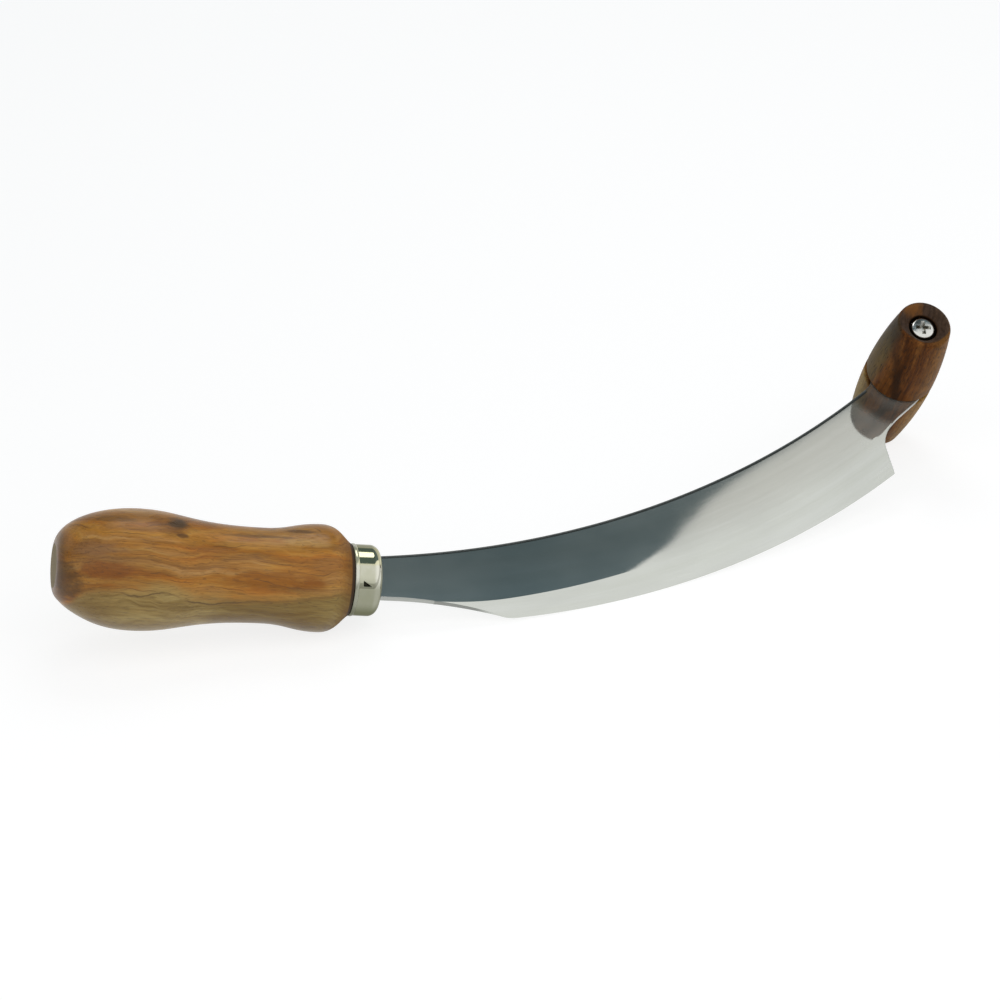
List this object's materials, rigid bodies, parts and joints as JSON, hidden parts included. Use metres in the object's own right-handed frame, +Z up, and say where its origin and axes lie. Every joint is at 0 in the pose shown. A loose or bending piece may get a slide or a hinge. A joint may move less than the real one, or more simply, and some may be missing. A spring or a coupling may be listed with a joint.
{
  "type": "cheese knife",
  "caption": "Rocking cheese knife with a turned wooden handle, a metal ferrule, a curved polished blade and a wooden cross grip that turns on a screw at the tip.",
  "frame": {"origin": "middle of the bounding box, on the table that the knife lies on", "axes": "+Z up from the table; +X along the main handle as seen from above, from the butt towards the blade; +Y across the table, from the cutting edge towards the spine. The knife lies on the handle's front swell, the cutting edge and the rim of the left barrel"},
  "size_m": [0.303, 0.1186, 0.0607],
  "materials": {
    "handle_wood": "turned hardwood with streaked brown grain and a pale sapwood side, oiled to a low gloss",
    "grip_wood": "turned dark walnut, oiled to a low gloss",
    "blade_steel": "stainless steel, mirror polished with fine lengthwise brushing",
    "ferrule_nickel": "bright nickel plate",
    "fastener_zinc": "bright zinc plate",
    "bedding_resin": "hard dark resin"
  },
  "bodies": {
    "knife": {"main_handle": "handle_wood", "ferrule": "ferrule_nickel", "blade": "blade_steel", "tang_bedding": "bedding_resin", "grip_sleeve": "fastener_zinc", "grip_screw": "fastener_zinc", "grip_washer": "fastener_zinc", "grip_nut": "fastener_zinc"},
    "right_barrel": {"right_grip": "grip_wood"},
    "left_barrel": {"left_grip": "grip_wood"}
  },
  "joints": [
    {"name": "right_grip_spin", "type": "hinge", "parent": "knife", "child": "right_barrel", "pos_m": [0.13843, 0.03631, 0.03041], "axis": [0.1358, -0.5136, 0.8472], "continuous": true},
    {"name": "left_grip_spin", "type": "hinge", "parent": "knife", "child": "left_barrel", "pos_m": [0.13843, 0.03631, 0.03041], "axis": [0.1358, -0.5136, 0.8472], "continuous": true}
  ]
}
